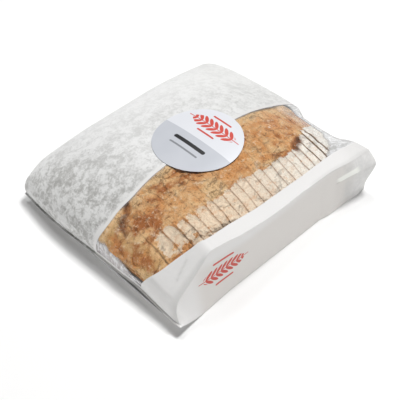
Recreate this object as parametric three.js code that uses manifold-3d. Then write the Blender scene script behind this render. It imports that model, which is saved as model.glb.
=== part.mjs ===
// A sliced loaf in a white paper bread bag with a clear film window and a round label.
// Millimetres, +Z up. +X runs along the loaf, -Y is the creased side face, and the bag
// lies on its flat underside.
import * as THREE from 'three';
import Module from 'manifold-3d';

const wasm = await Module();
wasm.setup();

// Bag
const NEAR_X = -142;
const FAR_X = 142;
const WALL = 1;
const STATION_CROWDING = 0.35;
const STATION_WAVE = 0.035;
const RIDGE_Y = -38;
const RIDGE_Z = 89;
const FOLD_Z = 13;
const FOLD_HALF = 1.2;
const FOLD_DEPTH = 3;
const NEAR_REACH = 95;
const NEAR_BULGE = 5;
const UNDERSIDE_LIFT = 34;
const FAR_EDGE_Z = 44;
const FAR_REACH = 112;
const FAR_UNDERCUT = 7;
const FAR_CORNER = 16;
const FAR_DIP = 8;
const FAR_DIP_FROM = 100;
const FAR_DIP_LEFT = -14;
const FAR_DIP_RIGHT = -102;
const END_HALF_WIDTH = 126;
const LEFT_Y = 127;
const LEFT_Z = 30;
const LEFT_TUCK = 24;
const STATIONS = 30;
const END_FAN_SINK = 0.7;

// Lines along the bag as x and value: the crease's height and place, and the foot below it.
const CREASE_Z = [
  [-142, 75], [-90, 75], [-60, 73], [-23, 67], [33, 64], [77, 61], [105, 55.6], [127, 54], [142, 50],
];
const CREASE_Y = [
  [-142, -126], [-136, -117], [-128, -113], [-94, -113], [-56, -118], [10, -118], [33, -116.5], [142, -116.5],
];
const FOOT_Y = [
  [-142, -126], [-132, -125], [-113, -123], [-68, -120.5], [67, -120.8], [77, -123.2], [142, -125],
];
// The side face starts steep at the near fold and rolls out below the crease at the far end.
const CREASE_START = 8.6;
const CREASE_START_REACH = 7;
const CREASE_SLOPE = 1.07;
const CREASE_BLEND = 6;
const LEFT_RISE = 12;
const SIDE_ROLL = 8;
const SIDE_ROLL_FROM = 85;
const SIDE_ROLL_SHARE = 0.24;

// Window film
const WINDOW_LEFT = [
  [-143, -2], [-136, -4], [-131, -6.4], [-124, -8.7], [-100, -12], [100, -12], [135, -9], [142, -8],
];
const WINDOW_RIGHT = [
  [-143, -66], [-137, -71.5], [-131, -78], [-123, -84], [-114, -87.4], [-102, -93.2], [-94, -98.2],
  [-82, -102], [-12, -103.5], [48, -103], [77, -101.4], [105, -98.5], [142, -98],
];
const WINDOW_END_GAP = 4;
const WINDOW_FLOOR = 25;
const FILM_OVERLAP = 6;
const FILM_THICKNESS = 0.6;
const CLEARANCE = 0.35;

// Label
const LABEL_X = -5;
const LABEL_Y = -7;
const LABEL_RADIUS = 47.5;
const LABEL_THICKNESS = 0.6;

// Loaf
const LOAF_NEAR_X = -136;
const LOAF_FAR_X = 128;
const LOAF_Y = -40;
const LOAF_HALF_WIDTH = 73;
const LOAF_WIDEST_Z = 27;
const LOAF_BASE_Z = 1.8;
const LOAF_NEAR_ROUND = 44;
const LOAF_FAR_ROUND = 34;
const LOAF_BLUNT = 0.45;
const LOAF_TAPER = 0.3;
const HEEL = 20;
const SLICE_COUNT = 22;
const KERF = 0.7;
const KERF_WANDER = 1.1;
const FAN = 0.1;
const CRAG = 1.3;

const clamp01 = (v) => Math.min(1, Math.max(0, v));
const mix = (a, b, t) => a + (b - a) * t;
const ease = (t) => clamp01(t) ** 2 * (3 - 2 * clamp01(t));
// Quarter-round rise from 0 to 1 over a reach: upright at its start, level at its end.
const roundRise = (s, reach) => Math.sqrt(1 - (1 - clamp01(s / reach)) ** 2);
// Value at x of a line through points.
const along = (line, x) => {
  const next = line.findIndex(([at]) => at >= x);
  if (next === 0) return line[0][1];
  if (next < 0) return line.at(-1)[1];
  const [[x0, a], [x1, b]] = [line[next - 1], line[next]];
  return mix(a, b, (x - x0) / (x1 - x0));
};
const softMin = (a, b, width) => {
  const t = clamp01(0.5 + (b - a) / (2 * width));
  return mix(b, a, t) - width * t * (1 - t) * 0.5;
};

// The bag's governing lines at a station x. inset moves every line inwards.
function station(x, inset) {
  const s = x - NEAR_X - inset;
  const e = Math.max(0, FAR_X - x - inset);
  const droop = ((FAR_REACH - Math.min(e, FAR_REACH)) / FAR_REACH) ** 1.8;
  const rise = roundRise(s, NEAR_REACH);
  const closing = ease(s / 40);
  const corner = FAR_CORNER - Math.sqrt(FAR_CORNER ** 2 - Math.max(0, FAR_CORNER - e) ** 2);
  const start = FOLD_Z + FOLD_HALF + CREASE_START * clamp01(s / CREASE_START_REACH);
  return {
    ridgeZ: FOLD_Z + FOLD_HALF + (RIDGE_Z - FOLD_Z) * rise - (RIDGE_Z - FAR_EDGE_Z) * droop - inset,
    creaseZ: softMin(start + s * CREASE_SLOPE, along(CREASE_Z, x), CREASE_BLEND) - inset,
    creaseY: along(CREASE_Y, x) + inset,
    footY: along(FOOT_Y, x) + inset,
    floorZ: (FOLD_Z - FOLD_HALF) * (1 - clamp01(s / UNDERSIDE_LIFT)) ** 1.5 + inset,
    leftY: mix(END_HALF_WIDTH - 6, LEFT_Y, ease(s / 36)) - corner - inset,
    leftZ: mix(FOLD_Z, LEFT_Z, roundRise(s, LEFT_RISE)) - 4 * droop,
    tuckY: mix(END_HALF_WIDTH - 7, LEFT_Y - LEFT_TUCK, closing) - corner - inset,
  };
}

// Height of the bag's upper surface at x, y.
function topZ(x, y, inset) {
  const g = station(x, inset);
  const across = ease((FAR_DIP_LEFT - y) / 14) * ease((y - FAR_DIP_RIGHT) / 32);
  const dip = FAR_DIP * across * ease((x - FAR_DIP_FROM) / (FAR_X - FAR_DIP_FROM));
  if (y < RIDGE_Y) {
    const t = clamp01((RIDGE_Y - y) / (RIDGE_Y - g.creaseY));
    return mix(g.ridgeZ, g.creaseZ, 1.7 * t ** 2 - 0.7 * t ** 4) - dip;
  }
  const t = clamp01((y - RIDGE_Y) / (g.leftY - RIDGE_Y));
  return g.leftZ + (g.ridgeZ - g.leftZ) * Math.sqrt(1 - t ** 2) - dip;
}

// The end faces lean: the near one bulges over its fold, the far one tucks under.
function leanX(x, z) {
  const near = ease((NEAR_X + 60 - x) / 60);
  const far = ease((x - FAR_X + 45) / 45);
  const bulge = NEAR_BULGE * Math.sin(Math.PI * clamp01((z - FOLD_Z) / 62));
  return x - near * bulge - far * FAR_UNDERCUT * clamp01(1 - z / FAR_EDGE_Z);
}

// One closed section of the bag, anticlockwise as seen from the far end (+X).
function bagRing(x, inset) {
  const g = station(x, inset);
  const ring = [];
  const add = (y, z) => ring.push(new THREE.Vector3(leanX(x, z), y, z));
  const floorSteps = 9;
  const sideSteps = 6;
  const rightSteps = 9;
  const leftSteps = 13;
  const tuckSteps = 4;
  for (let i = 0; i < floorSteps; i++) {
    add(mix(g.tuckY, g.footY, i / floorSteps), g.floorZ);
  }
  for (let i = 0; i < sideSteps; i++) {
    const t = i / sideSteps;
    const out = 1 - (1 - clamp01((1 - t) / SIDE_ROLL_SHARE)) ** 1.4;
    const roll = SIDE_ROLL * ease((x - SIDE_ROLL_FROM) / (FAR_X - SIDE_ROLL_FROM)) * out * ease(t / 0.9);
    add(mix(g.footY, g.creaseY, t) - roll, mix(g.floorZ, g.creaseZ, t));
  }
  for (let i = 0; i < rightSteps; i++) {
    const y = mix(g.creaseY, RIDGE_Y, i / rightSteps);
    add(y, topZ(x, y, inset));
  }
  for (let i = 0; i < leftSteps; i++) {
    const y = mix(RIDGE_Y, g.leftY, Math.sin((i / leftSteps) * Math.PI * 0.5));
    add(y, topZ(x, y, inset));
  }
  for (let i = 0; i < tuckSteps; i++) {
    const a = (i / tuckSteps) * Math.PI * 0.5;
    add(mix(g.tuckY, g.leftY, Math.cos(a)), mix(g.leftZ, g.floorZ, Math.sin(a)));
  }
  return ring;
}

// Closed solid through equal rings of points, with a fan of faces over each end. sink moves
// the middle of each fan down, so that it faces every point of a ring with a dip in its top.
function loft(rings, sink = 0) {
  const count = rings[0].length;
  const points = rings.flat();
  const middle = (ring) => {
    const mean = ring.reduce((sum, p) => sum.add(p), new THREE.Vector3()).divideScalar(count);
    return mean.setZ(mix(mean.z, Math.min(...ring.map((p) => p.z)), sink));
  };
  const first = points.length;
  points.push(middle(rings[0]), middle(rings.at(-1)));
  const index = [];
  for (let r = 0; r < rings.length - 1; r++) {
    for (let i = 0; i < count; i++) {
      const a = r * count + i;
      const b = r * count + ((i + 1) % count);
      index.push(a, a + count, b, b, a + count, b + count);
    }
  }
  const last = (rings.length - 1) * count;
  for (let i = 0; i < count; i++) {
    const j = (i + 1) % count;
    index.push(first, i, j, first + 1, last + j, last + i);
  }
  const geometry = new THREE.BufferGeometry();
  geometry.setAttribute('position', new THREE.Float32BufferAttribute(points.flatMap((p) => p.toArray()), 3));
  geometry.setIndex(index);
  return geometry;
}

function solid(geometry) {
  const vertProperties = new Float32Array(geometry.attributes.position.array);
  const triVerts = new Uint32Array(geometry.index.array);
  return new wasm.Manifold(new wasm.Mesh({ numProp: 3, vertProperties, triVerts }));
}

function surface(manifold) {
  const mesh = manifold.getMesh();
  const geometry = new THREE.BufferGeometry();
  geometry.setAttribute('position', new THREE.Float32BufferAttribute(mesh.vertProperties, 3));
  geometry.setIndex([...mesh.triVerts]);
  return geometry;
}

// Stations along the bag, close together at both ends.
function bagStations(from, to, count) {
  const xs = [];
  for (let i = 0; i <= count; i++) {
    const t = i / count;
    const crowded = (1 - Math.cos(Math.PI * t)) / 2;
    xs.push(mix(from, to, mix(t, crowded, STATION_CROWDING) - STATION_WAVE * Math.sin(2 * Math.PI * t)));
  }
  return xs;
}

function bagBody(inset, from, to, count) {
  return solid(loft(bagStations(from, to, count).map((x) => bagRing(x, inset)), END_FAN_SINK));
}

// Upright block over the window, wider by margin and shorter by endGap at each end.
function windowBlock(margin, endGap, floor) {
  const near = NEAR_X - NEAR_BULGE + endGap;
  const far = FAR_X - endGap;
  const inside = (line) => line.filter(([x]) => x > near && x < far);
  const edge = (line, side) => [near, ...inside(line).map(([x]) => x), far].map((x) => {
    return new THREE.Vector2(x, along(line, x) + side);
  });
  const shape = new THREE.Shape([...edge(WINDOW_RIGHT, -margin), ...edge(WINDOW_LEFT, margin).reverse()]);
  const block = new THREE.ExtrudeGeometry(shape, { depth: 120, bevelEnabled: false });
  block.translate(0, 0, floor);
  return solid(merged(block));
}

// Shares the vertices of a geometry by their position.
function merged(geometry) {
  const position = geometry.attributes.position;
  const seen = new Map();
  const points = [];
  const index = [];
  for (let i = 0; i < position.count; i++) {
    const p = [position.getX(i), position.getY(i), position.getZ(i)];
    const key = p.map((v) => v.toFixed(4)).join(',');
    if (!seen.has(key)) {
      seen.set(key, points.length / 3);
      points.push(...p);
    }
    index.push(seen.get(key));
  }
  const result = new THREE.BufferGeometry();
  result.setAttribute('position', new THREE.Float32BufferAttribute(points, 3));
  result.setIndex(index);
  return result;
}

function buildBag() {
  const outer = bagBody(0, NEAR_X, FAR_X, STATIONS);
  const hollow = bagBody(WALL, NEAR_X + FOLD_DEPTH, FAR_X - WALL, STATIONS);
  return surface(outer.subtract(hollow).subtract(windowBlock(0, WINDOW_END_GAP, WINDOW_FLOOR)));
}

// The film is a strip glued under the paper, a little larger all round than the opening.
function buildFilm() {
  const over = WALL + CLEARANCE;
  const under = over + FILM_THICKNESS;
  const upper = bagBody(over, NEAR_X + FOLD_DEPTH + CLEARANCE, FAR_X - over, STATIONS);
  const lower = bagBody(under, NEAR_X + FOLD_DEPTH + CLEARANCE + FILM_THICKNESS, FAR_X + WALL, STATIONS);
  const strip = windowBlock(FILM_OVERLAP, 0, WINDOW_FLOOR - FILM_OVERLAP);
  return surface(upper.subtract(lower).intersect(strip));
}

// Round sticker that follows the bag's upper surface.
function buildLabel() {
  const around = 40;
  const levels = [0, 0.25, 0.5, 0.75, 1];
  const disc = (height) => {
    return levels.slice(1).map((level) => {
      const ring = [];
      for (let i = 0; i < around; i++) {
        const a = (i / around) * Math.PI * 2;
        const x = LABEL_X + LABEL_RADIUS * level * Math.cos(a);
        const y = LABEL_Y + LABEL_RADIUS * level * Math.sin(a);
        ring.push(new THREE.Vector3(x, y, topZ(x, y, 0) + height));
      }
      return ring;
    });
  };
  const under = disc(CLEARANCE);
  const over = disc(CLEARANCE + LABEL_THICKNESS);
  return loft([...over, ...under.reverse()]);
}

// Seeded random numbers from 0 to 1.
function randomFrom(seed) {
  let state = seed;
  return () => {
    state = (state * 1664525 + 1013904223) % 4294967296;
    return state / 4294967296;
  };
}

const random = randomFrom(7);
const cragWaves = Array.from({ length: 7 }, (_, i) => ({
  along: (0.02 + 0.035 * random()) * (i % 2 ? 1 : -1),
  around: 2 + i,
  phase: random() * Math.PI * 2,
}));
const crag = (x, a) => {
  return cragWaves.reduce((sum, w) => sum + Math.sin(w.along * x * Math.PI + w.around * a + w.phase), 0) / 7;
};

// One section of the loaf: flat base, upright sides, domed top held under the film.
function loafRing(x, slant) {
  const near = roundRise(x - LOAF_NEAR_X, LOAF_NEAR_ROUND);
  const far = roundRise(LOAF_FAR_X - x, LOAF_FAR_ROUND);
  const half = LOAF_HALF_WIDTH * mix(LOAF_BLUNT, 1, near) * mix(LOAF_TAPER, 1, far);
  const room = WALL + CLEARANCE + FILM_THICKNESS + CLEARANCE + 0.3;
  const peak = topZ(x, LOAF_Y, room) - 1;
  const widest = mix(LOAF_BASE_Z + 9, LOAF_WIDEST_Z, near * far);
  const base = LOAF_BASE_Z + 14 * (1 - near) + 12 * (1 - far);
  const around = 36;
  const power = (v, n) => Math.sign(v) * Math.abs(v) ** (2 / n);
  const ring = [];
  for (let i = 0; i < around; i++) {
    const a = -(i / around) * Math.PI * 2;
    const rough = 1 + (CRAG / LOAF_HALF_WIDTH) * crag(x, a);
    const y = LOAF_Y + half * rough * power(Math.cos(a), 2.5);
    const lift = Math.sin(a) > 0 ? (peak - widest) * power(Math.sin(a), 2.2) * rough
      : (widest - base) * power(Math.sin(a), 3.4);
    const yIn = Math.max(y, station(x, room).creaseY + 1);
    const z = Math.min(widest + lift, topZ(x, yIn, room));
    ring.push(new THREE.Vector3(x + slant * (z - LOAF_WIDEST_Z), yIn, z));
  }
  return ring;
}

// Cut planes along the loaf: the last slices lean on one another like a fan.
function cutPlanes() {
  const planes = [{ x: LOAF_NEAR_X, slant: 0 }];
  const inner = SLICE_COUNT - 2;
  for (let i = 0; i <= inner; i++) {
    const t = i / inner;
    const wander = (random() - 0.5) * 2 * KERF_WANDER;
    const x = mix(LOAF_NEAR_X + HEEL, LOAF_FAR_X - HEEL, t) + wander;
    planes.push({ x, slant: -FAN * ease((t - 0.6) / 0.4) });
  }
  planes.push({ x: LOAF_FAR_X, slant: 0 });
  return planes;
}

function buildSlice(front, back) {
  const from = front.x + (front.x === LOAF_NEAR_X ? 0.5 : KERF / 2);
  const to = back.x - (back.x === LOAF_FAR_X ? 0.5 : KERF / 2);
  const isHeel = front.x === LOAF_NEAR_X || back.x === LOAF_FAR_X;
  const steps = isHeel ? 4 : 2;
  const rings = [];
  for (let i = 0; i <= steps; i++) {
    const t = i / steps;
    const crowd = front.x === LOAF_NEAR_X ? t ** 1.7 : back.x === LOAF_FAR_X ? 1 - (1 - t) ** 1.7 : t;
    rings.push(loafRing(mix(from, to, crowd), mix(front.slant, back.slant, t)));
  }
  return loft(rings);
}

const part = new THREE.Group();

function addPiece(name, geometry, colour, roughness, opacity = 1) {
  geometry.computeVertexNormals();
  const material = new THREE.MeshStandardMaterial({ color: colour, roughness, metalness: 0 });
  material.transparent = opacity < 1;
  material.opacity = opacity;
  const mesh = new THREE.Mesh(geometry, material);
  mesh.name = name;
  part.add(mesh);
}

addPiece('bag', buildBag(), 0xeceae6, 0.75);
addPiece('window_film', buildFilm(), 0xf4f4f4, 0.15, 0.25);
addPiece('label', buildLabel(), 0xe9edf2, 0.5);
const planes = cutPlanes();
for (let i = 0; i < SLICE_COUNT; i++) {
  const name = `slice_${String(i + 1).padStart(2, '0')}`;
  addPiece(name, buildSlice(planes[i], planes[i + 1]), 0xc38c57, 0.85);
}

// The origin is the middle of the footprint, on the surface that the bag lies on.
const box = new THREE.Box3().setFromObject(part);
const centre = box.getCenter(new THREE.Vector3());
part.position.set(-centre.x, -centre.y, -box.min.z);

export default part;
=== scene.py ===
"""Looks of a sliced loaf in a white paper bread bag with a clear window and a round label."""

import math

import bmesh
import bpy
import numpy as np
from mathutils import Matrix, Vector


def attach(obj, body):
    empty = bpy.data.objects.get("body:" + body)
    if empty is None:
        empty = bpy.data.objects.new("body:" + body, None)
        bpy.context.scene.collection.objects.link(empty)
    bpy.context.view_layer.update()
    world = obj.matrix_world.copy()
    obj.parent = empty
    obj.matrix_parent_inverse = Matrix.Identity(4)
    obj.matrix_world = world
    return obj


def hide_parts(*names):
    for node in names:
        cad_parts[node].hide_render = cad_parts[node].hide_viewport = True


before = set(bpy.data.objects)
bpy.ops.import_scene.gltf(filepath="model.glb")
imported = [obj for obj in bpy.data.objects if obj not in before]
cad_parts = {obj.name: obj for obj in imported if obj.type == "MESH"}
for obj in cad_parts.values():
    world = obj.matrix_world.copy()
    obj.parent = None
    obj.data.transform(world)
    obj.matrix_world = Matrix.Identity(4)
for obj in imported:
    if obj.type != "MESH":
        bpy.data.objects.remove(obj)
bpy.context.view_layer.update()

# Sizes in millimetres, as in the solids. +X runs along the loaf, -Y is the creased side.
MM = 0.001
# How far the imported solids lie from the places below.
SHIFT_X, SHIFT_Y = 0.15, -0.5

NEAR_X, FAR_X = -142.0, 142.0
LIP, LIP_HALF = 2.2, 0.3
RIDGE_Y, RIDGE_Z = -38.0, 89.0
FOLD_Z = 13.0
NEAR_REACH = 95.0
NEAR_BULGE, NEAR_BULGE_HEIGHT, NEAR_BOW_REACH = 5.0, 62.0, 60.0
NEAR_SINK, NEAR_SINK_REACH = 3.0, 30.0
UNDERSIDE_LIFT = 34.0
FAR_EDGE_Z = 44.0
FAR_REACH = 112.0
FAR_UNDERCUT, FAR_TUCK_REACH = 7.0, 45.0
FAR_CORNER = 16.0
# The dip in the window's far end.
FAR_DIP, FAR_DIP_FROM = 8.0, 100.0
FAR_DIP_LEFT, FAR_DIP_LEFT_FADE = -14.0, 14.0
FAR_DIP_RIGHT, FAR_DIP_RIGHT_FADE = -102.0, 32.0
# The side face rolls in over this share of its height, towards the far end.
SIDE_ROLL, SIDE_ROLL_FROM, SIDE_ROLL_SHARE = 12.0, 85.0, 0.24
END_HALF_WIDTH = 126.0
LEFT_Y, LEFT_Z, LEFT_TUCK, LEFT_RISE = 127.0, 30.0, 24.0, 12.0
PAPER = 0.25
# The rings on the way in to the far face's seam, and the seam's height and width as shares.
FAR_RINGS = (0.12, 0.3, 0.5, 0.7, 0.86)
FAR_SEAM_HEIGHT, FAR_SEAM_WIDTH = 0.45, 0.93

# The crease starts steeply at the near fold, and blends into its line.
CREASE_START, CREASE_START_REACH, CREASE_SLOPE, CREASE_BLEND = 8.6, 7.0, 1.07, 6.0

# The crease that the strip of paper beside the window turns over, and the foot below it.
CREASE_X = (-142, -90, -60, -23, 33, 58, 77, 105, 115, 127, 142)
CREASE_Z = (75, 75, 73, 67, 64, 62, 61.2, 55.6, 54.2, 53.8, 50)
CREASE_IN_X = (-142, -136, -128, -94, -67, -56, 10, 33, 77, 115, 142)
CREASE_IN_Y = (-126, -117, -113, -113, -116, -118, -118, -116.5, -116, -117, -116.5)
FOOT_X = (-142, -132, -113, -68, -17, 34, 67, 77, 105, 128, 142)
FOOT_Y = (-126, -125, -123, -120.5, -120.5, -121, -120.8, -123.2, -123.5, -125.5, -124.5)
# How far the near edge bows out of its straight line.
BOW_Y = (-126, -121, -101, -62, -35, -4, 29, 53, 67, 80, 117, 127)
BOW_X = (2.6, 0.5, 1.1, 3.0, 0.7, -0.6, -3.1, -4.4, -4.6, -4.2, -2.1, -1)
# Creases beside the near corner, where the side face folds into the end: lines in x and y.
FACET_CREASES = ((-134, -78, -133.5, -98), (-133.5, -98, -132, -113), (-121, -101, -106, -98))
FACET_DEPTH, FACET_WIDTH = 0.9, 1.5
# The pocket in the side face: its lower edge climbs 1 mm in each run, and swells over a small step.
POCKET_X, POCKET_Z, POCKET_RUN = 92.0, 39.0, 9.0
POCKET_FROM, POCKET_TO = 88.0, 114.0
POCKET_SWELL, POCKET_DROP, POCKET_STEP, POCKET_FLOOR = 1.8, 2.0, 1.8, -0.2

# Window: its two long edges.
WINDOW_LEFT_X = (-142, -136, -131, -124, -113, -100, 100, 135, 142)
WINDOW_LEFT_Y = (-2, -3.6, -6.4, -8.7, -9.4, -12, -12, -9, -8)
WINDOW_RIGHT_X = (-142, -137, -131, -123, -114, -102, -94, -82, -60, -10, 48, 77, 105, 142)
WINDOW_RIGHT_Y = (-63, -70, -77, -83, -87, -93, -97.5, -101.5, -102.5, -103.5, -103, -101.4, -98.5, -98)
# Height of the film's milky part at the near end.
MILKY_Y = (-67, -54, -39, -19, -5)
MILKY_Z = (21.4, 22.5, 30.6, 33.6, 33.5)
# Where the last slice ends under the film.
LOAF_END_Y = (-99, -89, -68, -44, -20, 0)
LOAF_END_X = (96, 112, 127, 131, 130, 128)
# The film lies this deep under the paper, and less so towards the far edge.
FILM, FILM_DEPTH, FILM_DEPTH_FAR = 0.05, 0.45, 0.3
FILM_FAR_FROM, FILM_FAR_FADE = 126.0, 14.0
# Rows of paper that go across under the window at the near edge.
LIP_ROWS = 4

LABEL_X, LABEL_Y, LABEL_RADIUS = -5.0, -7.0, 47.5
LABEL_LIFT, LABEL_THICKNESS = 0.35, 0.35
LABEL_AROUND, LABEL_LEVELS = 96, 12

# Print: each ear of grain or bar by its place across, its length and its width.
MARK_X, MARK_Z = -75.0, 39.0
MARK_EAR, MARK_BARS = (0.0, 52.0, 18.0), ((14.5, 26.0, 2.6), (-14.5, 24.0, 2.6))
LABEL_EAR, LABEL_BARS = (23.0, 58.0, 17.0), ((35.5, 26.0, 2.2), (10.5, 24.0, 2.2))
LABEL_BLACK_BAR, LABEL_GREY_BAR = (-11.5, 44.0, 4.6), (-20.5, 40.0, 2.2)

LOAF_NEAR_X, LOAF_FAR_X = -136.0, 128.0
LOAF_Y, LOAF_HALF_WIDTH = -40.0, 73.0
LOAF_WIDEST_Z, LOAF_BASE_Z = 27.0, 1.8
LOAF_NEAR_ROUND, LOAF_FAR_ROUND = 44.0, 26.0
# Room between the loaf and the upper paper.
LOAF_ROOM = 0.85
# The length of each rounded end, and the slices with both ends.
HEEL = 20.0
SLICE_COUNT = 22
KERF_WANDER = 1.1
# The slices lean out from this share of the loaf's length on.
FAN, FAN_FROM = 0.1, 0.6
# Crags fade out at the very ends of the loaf, so that the crust closes smoothly.
CRAG_FADE = 4.0
# Where the golden crown ends and the floury shoulder begins.
SHOULDER_X = (-136, -112, -104, -97, -88, -65, -45, -3, 20, 45, 62, 74, 90, 104, 128)
SHOULDER_Y = (-52, -54, -58, -64, -69, -73, -74.5, -73.5, -75.5, -78, -77, -74, -67, -58, -50)
# A dark hollow at the far shoulder and a torn seam at the near end: lines in x and y.
HOLLOW = ((72, -77, 87, -68),)
TEARS = ((-92, -4, -104, -10), (-104, -10, -109, -17), (-109, -17, -117, -19), (-117, -19, -121, -29))

# Fineness of the meshes
STATIONS = 190
SEGMENTS = {"floor": 22, "side": 60, "strip": 12, "window": 60, "panel": 74, "tuck": 14}
AROUND = 340
SLICE_RINGS, END_RINGS = 12, 24
CAP_SHARES = (0.985, 0.94, 0.8, 0.55, 0.25)

# Linear colours
PAPER_WHITE = (0.752, 0.742, 0.732)
# The mottle's near-end colours carry painted shade, because the panel's near end curves away from the light.
MOTTLE_LOW, MOTTLE_LOW_NEAR_SHADED = (0.61, 0.61, 0.60), (0.37, 0.365, 0.35)
MOTTLE_HIGH, MOTTLE_HIGH_NEAR_SHADED = (0.79, 0.79, 0.785), (0.70, 0.70, 0.69)
# The panel is painted lighter towards its left edge and darker at its far top: painted light and painted
# shade.
PANEL_LEFT_LIT, PANEL_FAR_SHADE = (0.88, 0.88, 0.875), (0.86, 0.86, 0.85)
# Painted shade: the loaf's shadow seen through the side face.
LOAF_SHADE_BEHIND = (0.60, 0.55, 0.50)
# Painted shade on the strip's ends and the side's far end, and along the creases.
PAPER_SHADED, PAPER_CREASE_SHADE = (0.58, 0.575, 0.565), (0.46, 0.455, 0.44)
# The pocket's painted shadow under its ledge and painted highlight on the ledge.
POCKET_SHADOW, POCKET_HIGHLIGHT = (0.30, 0.31, 0.26), (0.84, 0.845, 0.80)
MARK_RED = (0.56, 0.09, 0.07)
# The film's bright streak colour is painted sheen.
FILM_CLEAR, FILM_SHEEN = (0.985, 0.985, 0.985, 1), (0.78, 0.78, 0.79)
FILM_MILK_NEAR, FILM_MILK_FAR = (0.62, 0.57, 0.56), (0.68, 0.68, 0.67)
LABEL_BLUE, LABEL_WHITE, LABEL_GLEAM = (0.53, 0.55, 0.595), (0.735, 0.75, 0.79), (0.95, 0.95, 0.97)
LABEL_RED, LABEL_BLACK, LABEL_GREY = (0.62, 0.075, 0.055), (0.02, 0.02, 0.022), (0.24, 0.25, 0.27)
# The crust's glint colour is a painted highlight.
CRUST_GOLDEN, CRUST_PALE, CRUST_GLINT = (0.82, 0.375, 0.125), (0.95, 0.64, 0.33), (1.0, 0.76, 0.50)
CRUST_BROWN, CRUST_BROWN_NEAR = (0.54, 0.190, 0.048), (0.51, 0.172, 0.044)
# The pit colour is painted shade in the pits, and the darkest one is painted shade in the tears and the
# hollow.
CRUST_PIT_SHADE, CRUST_CRACK, CRUST_HOLLOW_SHADE = (0.30, 0.112, 0.036), (0.30, 0.115, 0.042), (0.16, 0.06, 0.022)
KNOB_ORANGE, KNOB_OLIVE, KNOB_PALE = (0.86, 0.34, 0.095), (0.66, 0.43, 0.17), (0.96, 0.72, 0.41)
FLOUR_NEAR, FLOUR_FAR = (0.94, 0.78, 0.59), (1.0, 0.98, 0.91)
FLOUR_SPECK, FLOUR_STAIN = (0.74, 0.42, 0.22), (0.95, 0.72, 0.50)
CUT_EDGE = (0.42, 0.19, 0.08)
# The pore colour is painted shade in the crumb's holes.
CRUMB_SOLID, CRUMB_PORE_SHADE = (0.78, 0.64, 0.45), (0.48, 0.32, 0.18)
FLOOR_WHITE = (0.91, 0.91, 0.905, 1)

# Stage, in metres. Lights: name, place, size and power.
LIGHTS = (
    ("key", (1.25, -0.12, 3.37), (0.75, 0.75), 98.0),
    ("back_light", (0.8, 1.7, 4.4), (1.3, 1.3), 62.0),
    ("side_fill", (0.1, -1.5, 0.13), (1.2, 0.22), 5.0),
    ("end_fill", (-1.5, -0.2, 0.13), (1.2, 0.22), 7.0),
)
LIGHT_TARGET = (0, 0, 0.03)
WORLD_STRENGTH = 0.125
FLOOR_HALF, FLOOR_Z, FLOOR_GLOW = 3.0, -0.0004, 0.02
CAMERA_AZIMUTH, CAMERA_ELEVATION, CAMERA_ROLL = -43.15, 48.31, -0.37
CAMERA_TARGET, CAMERA_DISTANCE = (-0.03115, -0.0384, 0.040), 0.9277
SENSOR, LENS = 36.0, 81.0


def clamp01(v):
    return np.clip(v, 0.0, 1.0)


def mix(a, b, t):
    return a + (b - a) * t


def ease(t):
    """Smooth step from 0 to 1."""
    t = clamp01(t)
    return t * t * (3 - 2 * t)


def peak(v, width):
    """1 at 0, falling softly to 0 over the width on both sides."""
    return np.exp(-((v / width) ** 2))


def round_rise(s, reach):
    """Quarter-round rise from 0 to 1 over a reach."""
    return np.sqrt(np.maximum(0.0, 1 - (1 - clamp01(s / reach)) ** 2))


def soft_min(a, b, width):
    """The lower of two heights, blended where they are close."""
    t = clamp01(0.5 + (b - a) / (2 * width))
    return mix(b, a, t) - width * t * (1 - t) * 0.5


def lattice(ix, iy, iz, seed):
    """Repeatable value from -1 to 1 at each whole-number point."""
    h = (ix * 374761393 + iy * 668265263 + iz * 2147483647 + seed * 974634777) & 0xFFFFFFFF
    h = ((h ^ (h >> 13)) * 1274126177) & 0xFFFFFFFF
    h = ((h ^ (h >> 16)) * 2246822519) & 0xFFFFFFFF
    return ((h >> 8) & 0xFFFF) / 32767.5 - 1.0


def noise(x, y, z, seed):
    """Smooth noise from -1 to 1."""
    x, y, z = np.broadcast_arrays(x, y, z)
    cell = [np.floor(v).astype(np.int64) for v in (x, y, z)]
    fx, fy, fz = (v - c for v, c in zip((x, y, z), cell))
    fx, fy, fz = (f * f * (3 - 2 * f) for f in (fx, fy, fz))
    total = 0.0
    for dx in (0, 1):
        for dy in (0, 1):
            for dz in (0, 1):
                weight = (fx if dx else 1 - fx) * (fy if dy else 1 - fy) * (fz if dz else 1 - fz)
                total = total + weight * lattice(cell[0] + dx, cell[1] + dy, cell[2] + dz, seed)
    return total


def fractal(x, y, z, seed, octaves=4, gain=0.5):
    """Noise in ever finer layers, from -1 to 1."""
    total, size, top = 0.0, 1.0, 0.0
    for i in range(octaves):
        total = total + size * noise(x * 2**i, y * 2**i, z * 2**i, seed + i)
        top += size
        size *= gain
    return total / top


def line_distance(px, py, ax, ay, bx, by):
    """Distance from points to a line piece in a plane."""
    dx, dy = bx - ax, by - ay
    t = clamp01(((px - ax) * dx + (py - ay) * dy) / (dx * dx + dy * dy))
    return np.hypot(px - ax - t * dx, py - ay - t * dy)


def smooth_line(x, xs, values, reach):
    """A line through a few points, with its corners rounded off over the reach."""
    return sum(np.interp(x + d, xs, values) for d in np.linspace(-reach, reach, 9)) / 9


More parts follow.
